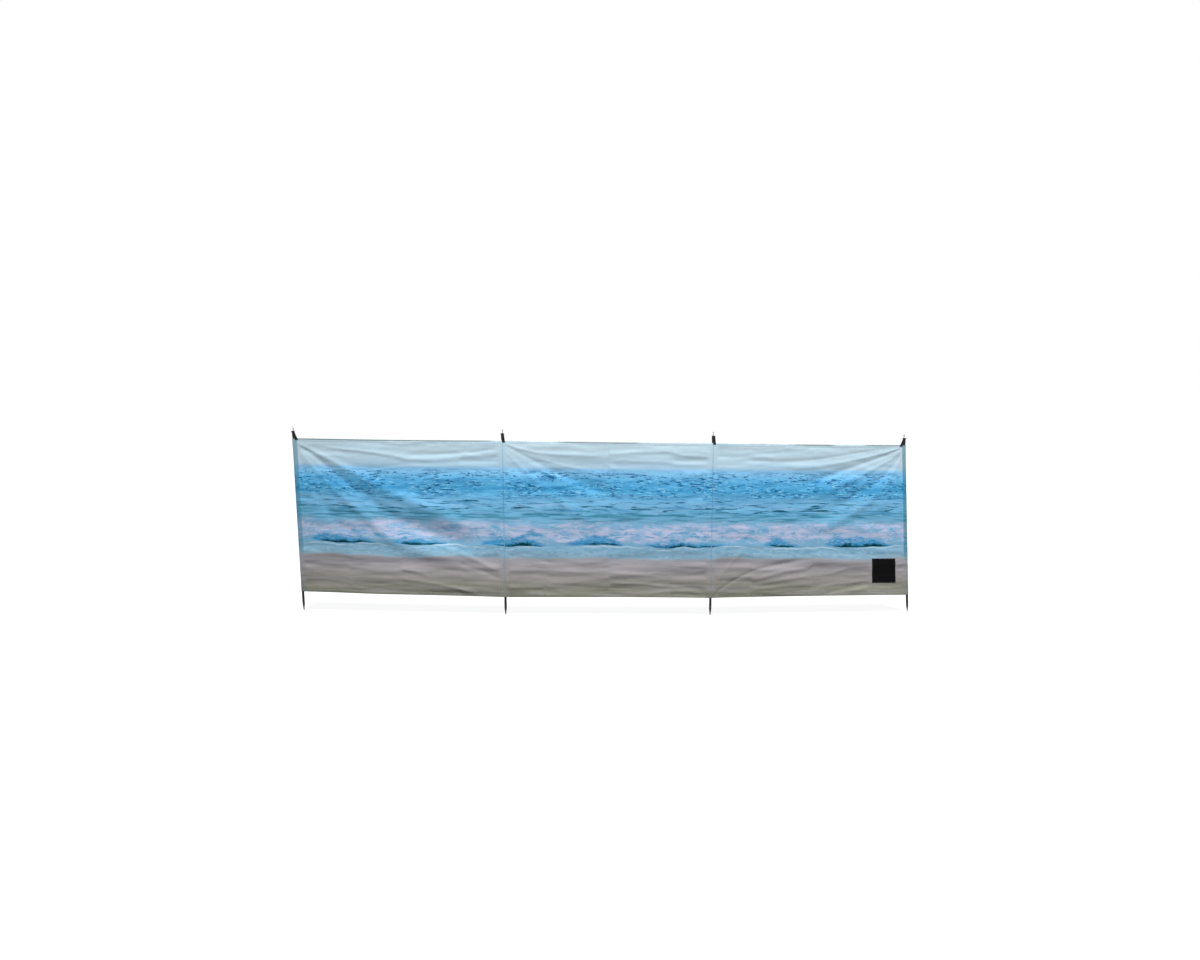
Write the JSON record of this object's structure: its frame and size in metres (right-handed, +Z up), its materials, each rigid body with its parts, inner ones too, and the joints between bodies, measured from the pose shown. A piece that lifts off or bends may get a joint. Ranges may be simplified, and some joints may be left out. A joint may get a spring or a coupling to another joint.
{
  "type": "beach windbreak",
  "caption": "Beach windbreak: printed cloth bays stretched between steel poles in sewn pockets, with webbing tabs over top pins and pointed ground spikes.",
  "frame": {"origin": "centre of the flat blunt tip under the plumb pole, the third from the left", "axes": "+X along the windbreak to the right seen from the printed front, +Y to the back of the cloth, +Z up along the plumb pole"},
  "size_m": [4.8752, 0.2126, 1.423],
  "materials": {
    "pole_steel": "satin dark paint",
    "spike_steel": "dull dark steel",
    "cap_plastic": "moulded black",
    "pin_steel": "dull zinc",
    "webbing": "woven black webbing",
    "eyelet_metal": "pressed",
    "printed_cloth": "woven, printed seascape bands",
    "cloth_hem": "woven, turned and stitched",
    "patch": "plain black woven patch"
  },
  "bodies": {
    "root": {"bottom_hem_1": "cloth_hem", "bottom_hem_2": "cloth_hem", "bottom_hem_3": "cloth_hem", "cloth_1": "printed_cloth", "cloth_2": "printed_cloth", "cloth_3": "printed_cloth", "eyelet_1": "eyelet_metal", "eyelet_2": "eyelet_metal", "eyelet_3": "eyelet_metal", "eyelet_4": "eyelet_metal", "ground_spike_1": "spike_steel", "ground_spike_2": "spike_steel", "ground_spike_3": "spike_steel", "ground_spike_4": "spike_steel", "label_patch": "patch", "pole_tube_1": "pole_steel", "pole_tube_2": "pole_steel", "pole_tube_3": "pole_steel", "pole_tube_4": "pole_steel", "sleeve_1": "printed_cloth", "sleeve_2": "printed_cloth", "sleeve_3": "printed_cloth", "sleeve_4": "printed_cloth", "tab_1": "webbing", "tab_2": "webbing", "tab_3": "webbing", "tab_4": "webbing", "top_cap_1": "cap_plastic", "top_cap_2": "cap_plastic", "top_cap_3": "cap_plastic", "top_cap_4": "cap_plastic", "top_hem_1": "cloth_hem", "top_hem_2": "cloth_hem", "top_hem_3": "cloth_hem", "top_pin_1": "pin_steel", "top_pin_2": "pin_steel", "top_pin_3": "pin_steel", "top_pin_4": "pin_steel"}
  },
  "joints": []
}
